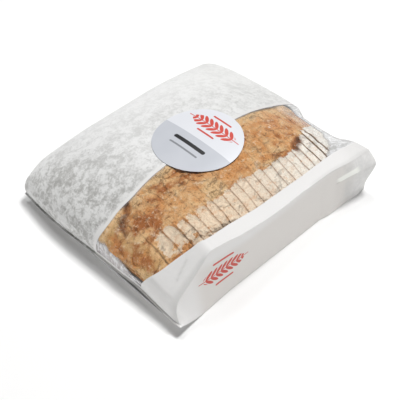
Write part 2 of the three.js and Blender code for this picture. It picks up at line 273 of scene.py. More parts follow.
def station(x):
    """The bag's governing lines at stations x."""
    s = np.maximum(0.0, x - NEAR_X - LIP)
    e = np.maximum(0.0, FAR_X - x)
    droop = ((FAR_REACH - np.minimum(e, FAR_REACH)) / FAR_REACH) ** 1.8
    rise = round_rise(s, NEAR_REACH)
    corner = FAR_CORNER - np.sqrt(FAR_CORNER**2 - np.maximum(0.0, FAR_CORNER - e) ** 2)
    start = FOLD_Z + LIP_HALF + CREASE_START * clamp01(s / CREASE_START_REACH) + s * CREASE_SLOPE
    sag = smooth_line(x, CREASE_X, CREASE_Z, 10)
    return {
        "ridge_z": FOLD_Z + LIP_HALF + (RIDGE_Z - FOLD_Z) * rise - (RIDGE_Z - FAR_EDGE_Z) * droop,
        "crease_z": soft_min(start, sag, CREASE_BLEND),
        "crease_y": smooth_line(x, CREASE_IN_X, CREASE_IN_Y, 3),
        "foot_y": smooth_line(x, FOOT_X, FOOT_Y, 3),
        "floor_z": (FOLD_Z - LIP_HALF) * (1 - clamp01(s / UNDERSIDE_LIFT)) ** 1.5,
        "left_y": mix(END_HALF_WIDTH - 6, LEFT_Y, ease(s / 36)) - corner,
        "left_z": mix(FOLD_Z, LEFT_Z, round_rise(s, LEFT_RISE)) - 4 * droop,
        "tuck_y": mix(END_HALF_WIDTH - 7, LEFT_Y - LEFT_TUCK, ease(s / 40)) - corner,
    }


def top_z(x, y):
    """Height of the bag's upper surface without its relief."""
    g = station(x)
    right = clamp01((RIDGE_Y - y) / (RIDGE_Y - g["crease_y"]))
    left = clamp01((y - RIDGE_Y) / (g["left_y"] - RIDGE_Y))
    over_right = mix(g["ridge_z"], g["crease_z"], 1.7 * right**2 - 0.7 * right**4)
    over_left = g["left_z"] + (g["ridge_z"] - g["left_z"]) * np.sqrt(1 - left**2)
    return np.where(y < RIDGE_Y, over_right, over_left)


def warp(x, y, z):
    """The near end bows and bulges over its fold and sinks at its left, the far end tucks under."""
    near = ease((NEAR_X + NEAR_BOW_REACH - x) / NEAR_BOW_REACH)
    far = ease((x - FAR_X + FAR_TUCK_REACH) / FAR_TUCK_REACH)
    out = NEAR_BULGE * np.sin(math.pi * clamp01((z - FOLD_Z) / NEAR_BULGE_HEIGHT))
    bow = smooth_line(y, BOW_Y, BOW_X, 6)
    moved = x + near * (bow - out) - far * FAR_UNDERCUT * clamp01(1 - z / FAR_EDGE_Z)
    at_end = ease((NEAR_X + NEAR_SINK_REACH - x) / NEAR_SINK_REACH)
    sunk = z - NEAR_SINK * at_end * ease((y - 10) / 100) * clamp01(z / FOLD_Z)
    return np.stack([moved, y + 0 * x, sunk], -1)


def window_left(x):
    return smooth_line(x, WINDOW_LEFT_X, WINDOW_LEFT_Y, 4)


def window_right(x):
    return smooth_line(x, WINDOW_RIGHT_X, WINDOW_RIGHT_Y, 4)


def top_relief(x, y):
    """How far the upper paper and the film stand off their plain form."""
    near = ease((x - NEAR_X - LIP) / 25)
    waves = 0.9 * fractal(x / 60, y / 60, 0 * x, 3, 3)
    buckles = 0.8 * noise(x / 26, y / 13, 0 * x, 11) * (1 - ease((x - NEAR_X - 30) / 40))
    creases = 0.0
    for line in FACET_CREASES:
        creases = creases + FACET_DEPTH * peak(line_distance(x, y, *line), FACET_WIDTH)
    edge = ease((station(x)["left_y"] - y) / 20)
    left = ease((FAR_DIP_LEFT - y) / FAR_DIP_LEFT_FADE)
    right = 1 - ease((FAR_DIP_RIGHT + FAR_DIP_RIGHT_FADE - y) / FAR_DIP_RIGHT_FADE)
    dip = FAR_DIP * left * right * ease((x - FAR_DIP_FROM) / (FAR_X - FAR_DIP_FROM))
    return edge * (near * (waves + buckles) - creases * ease((-y - 78) / 12)) - dip


def bag_top(x, y):
    return top_z(x, y) + top_relief(x, y)


def bag_grid():
    """Points of the bag's outer surface: stations by places around the section."""
    t = np.linspace(0, 1, STATIONS)
    crowd = 0.6 * t + 0.4 * (1 - np.cos(math.pi * t)) / 2
    xs = mix(NEAR_X, FAR_X, crowd)
    lip = NEAR_X + LIP * np.array([0, 0.5, 1.0, 1.12, 1.35, 1.8])
    xs = np.concatenate([lip, xs[xs > lip[-1] + 0.4]])
    x = xs[:, None]
    g = station(x)
    ys, zs, kinds = [], [], []

    def along(name):
        n = SEGMENTS[name]
        kinds.extend([name] * n)
        return (np.arange(n) / n)[None, :]

    f = along("floor")
    ys.append(mix(g["tuck_y"], g["foot_y"], f))
    zs.append(g["floor_z"] + 0 * f)
    f = along("side")
    roll = SIDE_ROLL * ease((x - SIDE_ROLL_FROM) / (FAR_X - SIDE_ROLL_FROM))
    roll = roll * (1 - (1 - clamp01((1 - f) / SIDE_ROLL_SHARE)) ** 1.4) * ease(f / 0.9)
    ys.append(mix(g["foot_y"], g["crease_y"], f) - roll)
    zs.append(mix(g["floor_z"], g["crease_z"], f))
    right, left = window_right(x), window_left(x)
    for name, a, b in (("strip", g["crease_y"], right), ("window", right, left)):
        y = mix(a, b, along(name))
        ys.append(y)
        zs.append(bag_top(x + 0 * y, y))
    f = along("panel")
    y = mix(left, g["left_y"], np.sin(f * math.pi / 2))
    ys.append(y)
    zs.append(bag_top(x + 0 * y, y))
    a = along("tuck") * math.pi / 2
    ys.append(mix(g["tuck_y"], g["left_y"], np.cos(a)))
    zs.append(mix(g["left_z"], g["floor_z"], np.sin(a)))
    y = np.concatenate(ys, 1)
    z = np.concatenate(zs, 1)
    return warp(x + 0 * y, y, z), np.array(kinds)


def normals_of(points):
    """Outward unit normals of a grid that closes on itself around the section."""
    du = np.gradient(points, axis=0)
    wrapped = np.concatenate([points[:, -1:], points, points[:, :1]], 1)
    dv = (wrapped[:, 2:] - wrapped[:, :-2]) / 2
    n = np.cross(du, dv)
    n /= np.maximum(np.linalg.norm(n, axis=2, keepdims=True), 1e-9)
    centre = points.mean(axis=1, keepdims=True)
    if np.sum(n * (points - centre)) < 0:
        n = -n
    return n


def above_pocket(x, z):
    """Height over the lower edge of the pocket in the side face."""
    return z - (POCKET_Z + (x - POCKET_X) / POCKET_RUN)


def side_relief(points, kinds):
    """Soft waves of the creased side face and the pressed-in pocket near its far end."""
    x, y, z = points[..., 0], points[..., 1], points[..., 2]
    waves = fractal(x / 45, y / 45, z / 30, 21, 3)
    above = above_pocket(x, z)
    step = POCKET_SWELL - POCKET_DROP * ease(-above / POCKET_STEP)
    pocket = np.where(above > 0, POCKET_SWELL * np.exp(-above / 5.0), step)
    pocket = np.where(above < -POCKET_STEP, POCKET_FLOOR * np.exp((above + POCKET_STEP) / 6.0), pocket)
    reach = ease((x - POCKET_FROM) / 8) * (1 - ease((x - POCKET_TO) / 9))
    edge = ease((x - NEAR_X - 8) / 30) * ease((FAR_X - x) / 6)
    return (waves * edge + pocket * reach) * (kinds == "side")[None, :]


points, kinds = bag_grid()
relief = side_relief(points, kinds)
# The relief fades out at the foot and at the crease, so that both stay crisp.
side_at = np.where(kinds == "side")[0]
side_share = np.zeros(len(kinds))
side_share[side_at] = (side_at - side_at[0]) / len(side_at)
fade = ease(side_share / 0.2) * mix(1, 0.5, ease((side_share - 0.7) / 0.3))
fade = np.where(kinds == "side", fade, 1.0)
points = points + normals_of(points) * (relief * fade[None, :])[..., None]
points[..., 2] = np.maximum(points[..., 2], 0.0)
normals = normals_of(points)


def add_to_scene(name, data):
    obj = bpy.data.objects.new(name, data)
    bpy.context.scene.collection.objects.link(obj)
    return obj


def make_object(name, verts, faces):
    """A smooth-shaded mesh from points in millimetres."""
    mesh = bpy.data.meshes.new(name)
    places = (np.array(verts, float).reshape(-1, 3) + np.array([SHIFT_X, SHIFT_Y, 0.0])) * MM
    mesh.from_pydata([tuple(v) for v in places], [], faces)
    mesh.validate()
    mesh.polygons.foreach_set("use_smooth", [True] * len(mesh.polygons))
    return add_to_scene(name, mesh)


def put_attribute(obj, name, values):
    attribute = obj.data.attributes.new(name, "FLOAT", "POINT")
    attribute.data.foreach_set("value", np.asarray(values, np.float32).ravel())


def apply_modifiers(obj):
    """Turns an object with modifiers into a plain mesh."""
    graph = bpy.context.evaluated_depsgraph_get()
    mesh = bpy.data.meshes.new_from_object(obj.evaluated_get(graph))
    obj.modifiers.clear()
    obj.data = mesh


def solidify(obj, thickness):
    """Gives a sheet its thickness, inwards."""
    modifier = obj.modifiers.new("thickness", "SOLIDIFY")
    modifier.thickness = thickness * MM
    modifier.offset = -1
    modifier.use_even_offset = False
    apply_modifiers(obj)


def fix_normals(obj):
    work = bmesh.new()
    work.from_mesh(obj.data)
    bmesh.ops.recalc_face_normals(work, faces=work.faces)
    work.to_mesh(obj.data)
    work.free()


def mark_sharp(obj, degrees):
    """Keeps edges above an angle crisp."""
    obj.data.set_sharp_from_angle(angle=math.radians(degrees))


def operator(operation):
    """A method that puts a math node after a value."""
    return lambda self, other: self.math(operation, other)


class Value:
    """A number in a shader that Python arithmetic builds on."""

    def __init__(self, graph, socket):
        self.graph, self.socket = graph, socket

    def math(self, operation, *others):
        return self.graph.math(operation, self, *others)

    def __rsub__(self, other):
        return self.graph.math("SUBTRACT", other, self)

    __add__, __sub__, __mul__ = operator("ADD"), operator("SUBTRACT"), operator("MULTIPLY")
    __truediv__, __pow__ = operator("DIVIDE"), operator("POWER")
    __radd__, __rmul__ = __add__, __mul__

    def ramp(self, low, high):
        """0 below low and 1 above high, with a smooth step between them."""
        node = self.graph.node("ShaderNodeMapRange", {"Value": self, "From Min": low, "From Max": high},
                               interpolation_type="SMOOTHSTEP")
        return Value(self.graph, node.outputs["Result"])

    def clip(self):
        return self.math("MAXIMUM", 0.0).math("MINIMUM", 1.0)


def add_node(tree, kind, inputs=None, **settings):
    """A node with its settings, and its inputs linked or set."""
    made = tree.nodes.new(kind)
    for key, value in settings.items():
        setattr(made, key, value)
    for key, value in (inputs or {}).items():
        source = value.socket if isinstance(value, Value) else value
        if isinstance(source, bpy.types.NodeSocket):
            tree.links.new(source, made.inputs[key])
        else:
            made.inputs[key].default_value = source
    return made


class Graph:
    """A material's node tree, with object coordinates in millimetres."""

    def __init__(self, name):
        self.material = bpy.data.materials.new(name)
        self.material.use_nodes = True
        self.tree = self.material.node_tree
        self.tree.nodes.clear()
        self.output = self.tree.nodes.new("ShaderNodeOutputMaterial")
        self.coords = self.node("ShaderNodeTexCoord").outputs["Object"]
        split = self.node("ShaderNodeSeparateXYZ", {"Vector": self.coords})
        self.x, self.y, self.z = (Value(self, s) * (1 / MM) for s in split.outputs)

    def node(self, kind, inputs=None, **settings):
        return add_node(self.tree, kind, inputs, **settings)

    def math(self, operation, *values):
        node = self.node("ShaderNodeMath", dict(enumerate(values)), operation=operation)
        return Value(self, node.outputs[0])

    def mix(self, factor, a, b, blend="MIX"):
        a, b = ((*colour, 1.0) if isinstance(colour, tuple) else colour for colour in (a, b))
        inputs = {0: factor, 6: a, 7: b}
        return self.node("ShaderNodeMix", inputs, data_type="RGBA", blend_type=blend).outputs[2]

    def noise(self, size, detail=4.0, roughness=0.5, stretch=(1, 1, 1), distortion=0.0):
        """Fractal noise from 0 to 1 whose largest blotches are about size millimetres."""
        at = self.node("ShaderNodeVectorMath", {0: self.coords, 1: stretch}, operation="MULTIPLY").outputs[0]
        node = self.node("ShaderNodeTexNoise", {"Vector": at, "Scale": 1 / (size * MM), "Detail": detail,
                                                "Roughness": roughness, "Distortion": distortion})
        return Value(self, node.outputs[0])

    def cells(self, size, feature="F1"):
        """Distance within cells of about size millimetres."""
        inputs = {"Vector": self.coords, "Scale": 1 / (size * MM)}
        node = self.node("ShaderNodeTexVoronoi", inputs, feature=feature)
        return Value(self, node.outputs[0])

    def attribute(self, name):
        return Value(self, self.node("ShaderNodeAttribute", attribute_name=name).outputs["Fac"])

    def relief(self, height, distance):
        """Fine relief, where a height of 1 stands for a distance in millimetres."""
        inputs = {"Height": height, "Distance": distance * MM, "Strength": 1.0}
        return self.node("ShaderNodeBump", inputs).outputs[0]

    def surface(self, colour, roughness, specular, normal):
        return self.node("ShaderNodeBsdfPrincipled", {
            "Base Color": colour, "Roughness": roughness, "Specular IOR Level": specular,
            "Normal": normal}).outputs[0]

    def finish(self, shader):
        self.tree.links.new(shader, self.output.inputs["Surface"])
        return self.material


def ear_mask(along, across, length, width):
    """A generic ear of grain: paired slanting kernels on a stem, as a mask from 0 to 1."""
    pitch = length / 8
    side = across.math("ABSOLUTE")
    shifted = along - side * 0.9
    place = shifted.math("FLOORED_MODULO", pitch) - pitch / 2
    centre = side - width * 0.24
    kernel = (place / (pitch * 0.40)) ** 2.0 + (centre / (width * 0.24)) ** 2.0
    kernels = 1.0 - kernel.ramp(0.8, 1.1)
    taper = width * 0.62 * (1.0 - (along / (length * 0.56)).math("ABSOLUTE") ** 2.6)
    inside = (taper - side).ramp(-0.2, 0.2) * (length * 0.5 - along.math("ABSOLUTE")).ramp(-0.2, 0.2)
    stem = (1.0 - side.ramp(0.35, 0.65)) * (length * 0.62 - along.math("ABSOLUTE")).ramp(0.0, 0.3)
    return (kernels * inside).math("MAXIMUM", stem)


def bar_mask(along, across, length, height):
    """A plain bar with rounded ends."""
    over = (along.math("ABSOLUTE") - (length - height) / 2).math("MAXIMUM", 0.0)
    reach = (over**2.0 + across**2.0).math("SQRT")
    return 1.0 - reach.ramp(height / 2 - 0.15, height / 2 + 0.15)


def barred_ear(along, across, ear, bars):
    """An ear of grain with bars beside it, each given by its place across, its length and its width."""
    place, length, width = ear
    mask = ear_mask(along, across - place, length, width)
    for place, length, width in bars:
        mask = mask.math("MAXIMUM", bar_mask(along, across - place, length, width))
    return mask


def paper_material():
    g = Graph("bag_paper")
    # The printed panel has a grey mottle that is strongest at its near end, where painted shade also darkens
    # it.
    blotch = g.noise(22, 3.0, 0.5)
    cloud = g.noise(7, 6.0, 0.62, distortion=0.6)
    speck = g.noise(2.2, 4.0, 0.6)
    mottle = (cloud * 0.6 + blotch * 0.25 + speck * 0.30).ramp(0.45, 0.67)
    near_end = 1.0 - (g.x + g.y * 0.25).ramp(-125.0, -35.0)
    low = g.mix(near_end, MOTTLE_LOW, MOTTLE_LOW_NEAR_SHADED)
    high = g.mix(near_end, MOTTLE_HIGH, MOTTLE_HIGH_NEAR_SHADED)
    # Painted light: the print is lighter towards the panel's left edge.
    printed = g.mix((g.y + g.x * 0.3).ramp(40.0, 110.0) * 0.55, g.mix(mottle, low, high), PANEL_LEFT_LIT)
    base = g.mix(g.attribute("panel"), PAPER_WHITE, printed)
    # Painted shade: the far top of the upper paper is darker.
    far_top_shade = (g.x - g.y * 0.3).ramp(-10.0, 110.0) * g.y.ramp(-40.0, -20.0)
    base = g.mix(far_top_shade * 0.8, base, PANEL_FAR_SHADE, "MULTIPLY")
    # Painted shade: loaf behind the side face, strip ends, far side, creases; painted pocket shadow and
    # highlight.
    shaded = g.attribute("shaded") * (cloud.ramp(0.35, 0.65) * 0.4 + 0.35)
    for amount, colour in ((g.attribute("loaf_shade_behind") * 0.5, LOAF_SHADE_BEHIND), (shaded, PAPER_SHADED),
                           (g.attribute("crease_shade"), PAPER_CREASE_SHADE), (g.attribute("pocket_shadow"), POCKET_SHADOW),
                           (g.attribute("fold"), POCKET_HIGHLIGHT)):
        base = g.mix(amount, base, colour)
    # A red ear of grain between two thin bars on the side face.
    mark = barred_ear(g.x - MARK_X, g.z - MARK_Z, MARK_EAR, MARK_BARS)
    base = g.mix(mark * g.attribute("side"), base, MARK_RED)
    fibres = g.noise(1.6, 5.0, 0.7, stretch=(1, 1.6, 1))
    height = fibres * 0.25 + g.noise(14, 3.0, 0.5)
    return g.finish(g.surface(base, 0.62, 0.35, g.relief(height, 0.35)))


def film_material():
    """All but clear; white in wisps where it is hazy or where painted light lies on it, with streaks of
    painted sheen.
    """
    g = Graph("window_film")
    streak = g.noise(9, 4.0, 0.6, stretch=(0.6, 1.8, 1), distortion=1.2)
    fine = g.noise(3.5, 3.0, 0.5, stretch=(1, 2.5, 1))
    grazing = Value(g, g.node("ShaderNodeLayerWeight", {"Blend": 0.5}).outputs["Facing"])
    wisps = streak.ramp(0.35, 0.65) * 0.36 + 0.62
    veil = (g.attribute("haze_and_painted_light") * wisps + streak.ramp(0.60, 0.8) * 0.04 + 0.005 + grazing**3.0 * 0.14).clip()
    clear = g.node("ShaderNodeBsdfTransparent", {"Color": FILM_CLEAR})
    milk = g.mix(g.x.ramp(-60.0, 60.0), FILM_MILK_NEAR, FILM_MILK_FAR)
    # Painted sheen: bright streaks in the film's tone.
    tone = g.mix(streak.ramp(0.38, 0.6), milk, FILM_SHEEN)
    gloss = g.surface(tone, 0.14, 0.6, g.relief(streak * 0.7 + fine * 0.3, 1.2))
    both = g.node("ShaderNodeMixShader", {0: veil, 1: clear.outputs[0], 2: gloss})
    return g.finish(both.outputs[0])


def label_material():
    """A white and a blue half, with the ear of grain on the white and two bars on the blue."""
    g = Graph("label_paper")
    along = g.x - (LABEL_X + SHIFT_X)
    across = g.y - (LABEL_Y + SHIFT_Y)
    base = g.mix(along.ramp(-0.25, 0.25), LABEL_BLUE, LABEL_WHITE)
    base = g.mix(g.noise(30, 2.0, 0.5).ramp(0.2, 0.8) * 0.08, base, LABEL_GLEAM)
    base = g.mix(barred_ear(across, along, LABEL_EAR, LABEL_BARS), base, LABEL_RED)
    for (place, length, width), colour in ((LABEL_BLACK_BAR, LABEL_BLACK), (LABEL_GREY_BAR, LABEL_GREY)):
        base = g.mix(bar_mask(across, along - place, length, width), base, colour)
    grain = g.noise(1.2, 3.0, 0.6)
    return g.finish(g.surface(base, 0.42, 0.45, g.relief(grain, 0.05)))


def bread_material():
    g = Graph("bread")
    crumb, flour, bake, deep, rise, cut = (
        g.attribute(name) for name in ("crumb", "flour", "bake", "deep", "height", "cut"))
    large = g.noise(34, 4.0, 0.55)
    patch = g.noise(12, 6.0, 0.66, distortion=0.8)
    clump = g.noise(6.5, 5.0, 0.68, stretch=(0.75, 1.15, 1))
    fine = g.noise(3.2, 5.0, 0.68)
    grit = g.noise(1.1, 3.0, 0.6)
    # The near end is knobbly, with orange, pale and olive-gold lumps.
    end = 1.0 - g.x.ramp(-124.0, -108.0)
    tint = g.noise(26, 3.0, 0.5, distortion=0.5)
    knobs = g.mix(tint.ramp(0.32, 0.56), KNOB_ORANGE, KNOB_OLIVE)
    knobs = g.mix(tint.ramp(0.50, 0.68), knobs, KNOB_PALE)
    golden = g.mix(end * 0.7, CRUST_GOLDEN, knobs)
    # Thin winding cracks, in places.
    winding = (g.noise(21, 5.0, 0.66, stretch=(0.6, 1.2, 1), distortion=0.5) - 0.5).math("ABSOLUTE")
    cracks = (1.0 - winding.ramp(0.0, 0.020)) * (patch * 0.5 + large * 0.5).ramp(0.46, 0.56)
    # Paler on the swells and browner in the dips, which is painted light and shade, and browner where it is
    # baked.
    crust = g.mix((patch * 0.55 + large * 0.4 + rise * 0.35).ramp(0.49, 0.83), golden, CRUST_PALE)
    brown = g.mix(1.0 - g.x.ramp(-85.0, -50.0), CRUST_BROWN, CRUST_BROWN_NEAR)
    browned = (bake * 0.9 + (patch - 0.5) * 1.4 + (clump - 0.5) * 1.3 + (0.5 - rise) * 0.9).ramp(0.12, 0.80)
    crust = g.mix(browned, crust, brown)
    # Painted shade in the pits and painted glints on the grains, then the cracks.
    texture = clump * 0.40 + fine * 0.48 + grit * 0.12
    crust = g.mix((1.0 - texture.ramp(0.37, 0.48)) * 0.8, crust, CRUST_PIT_SHADE)
    crust = g.mix(texture.ramp(0.52, 0.61) * 0.72, crust, CRUST_GLINT)
    crust = g.mix(cracks * 0.5 * (1.0 - flour), crust, CRUST_CRACK)
    # Flour, whiter towards the far end, broken up by specks and a fine web.
    web = 1.0 - g.cells(3.4, "DISTANCE_TO_EDGE").ramp(0.02, 0.14)
    specks = ((1.0 - (clump * 0.6 + fine * 0.4).ramp(0.40, 0.50)) * 0.8 + web * 0.25).clip()
    dusting = (flour * 1.6 + (clump - 0.5) * 1.0 - specks * 0.7 * (1.25 - flour)).ramp(0.20, 0.75)
    whiter = g.x.ramp(-60.0, 110.0)
    floury = g.mix(whiter, FLOUR_NEAR, FLOUR_FAR)
    floury = g.mix(specks * (0.65 - whiter * 0.3), floury, FLOUR_SPECK)
    floury = g.mix(patch.ramp(0.48, 0.72) * 0.25, floury, FLOUR_STAIN)
    crust = g.mix(dusting * 0.97, crust, floury)
    crust = g.mix(cut * (0.6 + g.x.ramp(60.0, 95.0) * 0.3), crust, CUT_EDGE)
    # Painted shade in the tears and the hollow.
    crust = g.mix(deep * 0.8, crust, CRUST_HOLLOW_SHADE)
    # Painted shade in the crumb's pores.
    pores = g.cells(3.0).ramp(0.12, 0.42) * g.noise(5, 3.0, 0.5).ramp(0.2, 0.5)
    base = g.mix(crumb, crust, g.mix(pores, CRUMB_PORE_SHADE, CRUMB_SOLID))
    height = (clump * 0.9 + fine * 0.75) * (1.0 - flour * 0.7) + patch * 0.8 + grit * 0.15 - cracks * 0.3
    height = height - (1.0 - pores) * crumb * 0.8
    return g.finish(g.surface(base, 0.55 + dusting * 0.3, 0.35, g.relief(height, 4.2)))


def grid_faces(columns, rows, count, first=0):
    """Quads of the chosen columns, between neighbouring rows from the first on."""
    faces = []
    for r in range(first, rows - 1):
        for i in columns:
            j = (i + 1) % count
            faces.append((r * count + i, r * count + j, (r + 1) * count + j, (r + 1) * count + i))
    return faces


def far_end(last):
    """Rings that close the far face in to a seam across its middle."""
    seam_z = FAR_SEAM_HEIGHT * last[:, 2].max()
    rings = []
    for share in FAR_RINGS:
        z = mix(last[:, 2], seam_z, share)
        y = mix(last[:, 1], last[:, 1] * FAR_SEAM_WIDTH, share)
        dish = 1.5 * np.sin(math.pi * share) + 0.5 * noise(last[:, 1] / 20, z / 12, share * 3, 31)
        rings.append(np.stack([last[:, 0] * (1 - share) + (FAR_X - 3) * share - dish, y, z], 1))
    return rings


def paint_bag(obj, verts, rows, count):
    """Puts on the bag's points what its material reads."""
    columns = np.tile(kinds, rows)
    x, y, z = (verts[:rows * count, k] for k in range(3))
    # The print keeps a plain margin beside the window.
    margin = ease((y - window_left(x) - 3.0) / 1.5)
    side = (columns == "side").astype(float)
    # Where the loaf stands behind the side face, its shadow through the paper is painted.
    behind = ease((x + 118) / 20) * (1 - ease((x - 105) / 14)) * ease((64 - z) / 12)
    above = above_pocket(x, z)
    reach = ease((x - POCKET_FROM) / 5) * (1 - ease((x - POCKET_TO) / 7)) * side
    # Painted shade along the crease over the side face and along the creases by the near corner.
    crease_at = side_at[-1] + 1
    nearness = np.clip(1.4 - 0.45 * np.abs(np.tile(np.arange(count), rows) - crease_at), 0, 1)
    crease_shade = nearness * (0.4 * ease((-92 - x) / 6) + 0.25 * ease((x - 45) / 15))
    for line in FACET_CREASES:
        drawn = 0.4 * peak(line_distance(x, y, *line), 1.1) * (z > 20) * (y < -76)
        crease_shade = np.maximum(crease_shade, drawn)
    strip_ends = np.maximum(0.3 * ease((-92 - x) / 12), 0.4 * ease((x - 105) / 25))
    painted = {
        "panel": np.isin(columns, ("panel", "tuck")) * margin,
        "side": side,
        "loaf_shade_behind": side * behind * 0.8,
        # Painted highlight on the pocket's ledge, and painted shadow in the slit beneath it.
        "fold": reach * ease((above + 0.5) / 1.2) * (1 - ease((above - 4.5) / 1.5)),
        "pocket_shadow": reach * peak(above + 0.8, 0.9) * 0.8,
        "crease_shade": crease_shade,
        "shaded": np.maximum((columns == "strip") * strip_ends, side * ease((x - 96) / 9)),
    }
    pad = np.zeros(len(verts) - rows * count)
    for name, values in painted.items():
        put_attribute(obj, name, np.concatenate([values, pad]))


def build_bag():
    rows, count = points.shape[:2]
    rings = far_end(points[-1])
    verts = np.concatenate([points.reshape(-1, 3)] + rings)
    faces = grid_faces([i for i in range(count) if kinds[i] != "window"], rows, count)
    # Under the window's near edge the paper's folded lip goes right across.
    faces += grid_faces([i for i in range(count) if kinds[i] == "window"], LIP_ROWS, count)
    faces += grid_faces(range(count), rows + len(rings), count, rows - 1)
    # The seam closes the far face, and the near lip closes edge to edge.
    faces.append(tuple(range(len(verts) - count, len(verts))))
    faces.append(tuple(range(count)))
    obj = make_object("bag_paper", verts, faces)
    paint_bag(obj, verts, rows, count)
    fix_normals(obj)
    solidify(obj, PAPER)
    mark_sharp(obj, 32)
    obj.data.materials.append(paper_material())
    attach(obj, "root")
    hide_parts("bag")
    return obj


def film_haze(x, y, z):
    """How milky the film is: at the near fold, beyond the last slice, where it is partly painted light, and
    along its left edge.
    """
    milky = np.interp(y, MILKY_Y, MILKY_Z) + 2.0 * noise(y / 7, 0 * x, 0 * x, 49)
    near = 0.95 * (1 - ease((z - milky - 1) / 4)) * (x < 0)
    beyond = x - np.interp(y, LOAF_END_Y, LOAF_END_X)
    ragged = 3 * noise(y / 9, 0 * x, 0 * x, 53)
    # Beyond the last slice the white is partly painted light for the lit paper behind; over the far crown it
    # is a faint painted reflection.
    far = 0.12 * ease((x - 95) / 20) + 0.86 * ease((beyond + 6 + ragged) / 9)
    rim = 0.3 * (1 - ease((window_left(x) - y) / 2.2))
    return np.maximum(np.maximum(near, far), rim)


def build_film():
    """The film lies just under the paper, a little wider than the opening."""
    at = np.where(kinds == "window")[0]
    columns = np.arange(at[0] - 3, at[-1] + 6)
    far = ease((points[:, columns, 0] - FILM_FAR_FROM) / FILM_FAR_FADE)
    depth = mix(FILM_DEPTH, FILM_DEPTH_FAR, far)
    film = points[:, columns] - normals[:, columns] * depth[..., None]
    x, y, z = film[..., 0], film[..., 1], film[..., 2]
    near = 1 - ease((x - NEAR_X - 6) / 22)
    ripple = 0.22 * fractal(x / 18, y / 7, z / 30, 41, 3) + 0.5 * near * noise(x / 14, y / 6, z / 9, 47)
    calm = 1 - ease((x - FILM_FAR_FROM) / FILM_FAR_FADE)
    film = film - normals[:, columns] * (np.clip(ripple, -0.15, 0.25) * calm)[..., None]
    # It starts inside the folded lip.
    film = film[2:]
    rows, count = film.shape[:2]
    verts = film.reshape(-1, 3)
    obj = make_object("window_film_clear", verts, grid_faces(range(count - 1), rows, count))
    put_attribute(obj, "haze_and_painted_light", film_haze(*verts.T))
    solidify(obj, FILM)
    obj.data.materials.append(film_material())
    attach(obj, "root")
    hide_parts("window_film")
    return obj


def build_label():
    """Round sticker that follows the bag's upper surface."""
    angles = np.arange(LABEL_AROUND) / LABEL_AROUND * 2 * math.pi
    top_lift = LABEL_LIFT + LABEL_THICKNESS

    def ring(share, lift):
        px = LABEL_X + LABEL_RADIUS * share * np.cos(angles)
        py = LABEL_Y + LABEL_RADIUS * share * np.sin(angles)
        return np.stack([px, py, bag_top(px, py) + lift], 1)

    rings = [ring((i + 1) / LABEL_LEVELS, top_lift) for i in range(LABEL_LEVELS)]
    rings.append(ring(1.0, LABEL_LIFT))
    rings += [ring((LABEL_LEVELS - 1 - i) / LABEL_LEVELS, LABEL_LIFT) for i in range(LABEL_LEVELS - 1)]
    centre_z = float(bag_top(np.array([LABEL_X]), np.array([LABEL_Y]))[0])
    verts = np.concatenate(rings + [[(LABEL_X, LABEL_Y, centre_z + LABEL_LIFT + LABEL_THICKNESS)],
                                    [(LABEL_X, LABEL_Y, centre_z + LABEL_LIFT)]])
    faces = grid_faces(range(LABEL_AROUND), len(rings), LABEL_AROUND)
    top, bottom = len(verts) - 2, len(verts) - 1
    base = (len(rings) - 1) * LABEL_AROUND
    for i in range(LABEL_AROUND):
        j = (i + 1) % LABEL_AROUND
        faces.append((top, i, j))
        faces.append((bottom, base + j, base + i))
    obj = make_object("label_round", verts, faces)
    fix_normals(obj)
    mark_sharp(obj, 40)
    obj.data.materials.append(label_material())
    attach(obj, "root")
    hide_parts("label")
    return obj


def loaf_points(x, a):
    """Crust points of the loaf at station x and angle a around it, before the slices part."""
    near = round_rise(x - LOAF_NEAR_X, LOAF_NEAR_ROUND)
    far = round_rise(LOAF_FAR_X - x, LOAF_FAR_ROUND)
    half = LOAF_HALF_WIDTH * (0.45 + 0.55 * near) * (0.42 + 0.58 * far)
    crown = top_z(x, LOAF_Y + 0 * x) - 1.2
    widest = LOAF_WIDEST_Z + 7 * (1 - near) - 13 * (1 - far)
    base = LOAF_BASE_Z + 26 * (1 - near) + 9 * (1 - far)
    # The powers of a rounded square: the right shoulder and the underside are the squarest.
    c, s = np.cos(a), np.sin(a)
    right_shoulder = (c < 0) & (s > 0)
    y = LOAF_Y + half * np.sign(c) * np.abs(c) ** np.where(right_shoulder, 2 / 3.3, 2 / 2.5)
    up = (crown - widest) * np.abs(s) ** np.where(right_shoulder, 2 / 3.3, 2 / 2.2)
    down = -(widest - base) * np.abs(s) ** (2 / 3.4)
    return y, widest + np.where(s > 0, up, down)


def shoulder(x):
    return smooth_line(x, SHOULDER_X, SHOULDER_Y, 4)


def near_line(x, y, lines, width):
    """1 on a few line pieces, falling to 0 over an uneven width."""
    ragged = width * (1 + 0.55 * noise(x / 4.5, y / 4.5, 0 * x, 131))
    total = 0.0
    for line in lines:
        total = np.maximum(total, peak(line_distance(x, y, *line), ragged))
    return total


def crag(x, y, z):
    """Height of the crust's crags: swells, folds, blisters, lumps at the near end, tears and the lip."""
    swell = 1.3 * fractal(x / 38, y / 30, z / 30, 51, 3)
    bend = 0.4 * noise(x / 22, y / 22, z / 22, 57)
    fold = 1 - np.abs(fractal(x / 22 + bend, y / 10 + x / 34, z / 13, 61, 4))
    blister = 1.7 * fractal(x / 6.5, y / 5.0, z / 5.5, 71, 3, 0.65)
    end = 1 - ease((x - LOAF_NEAR_X - 16) / 22)
    knob = fractal(x / 17, y / 19, z / 17, 141, 2)
    lumps = end * (1.6 * knob - 3.6 * peak(knob, 0.09))
    over = y - shoulder(x)
    lip = peak(over - 3.5, 4.5) - 1.2 * (1 - ease((over + 2) / 4)) * ease((z - 30) / 20)
    tear = near_line(x, y, TEARS, 2.6)
    hollow = near_line(x, y, HOLLOW, 4.2)
    # Along the window's left edge the crust stands higher.
    press = 5.0 * peak(y + 3, 15)
    return swell + 4.2 * (fold - 0.8) + blister + lumps + lip + press - 6.0 * tear - 7.0 * hollow


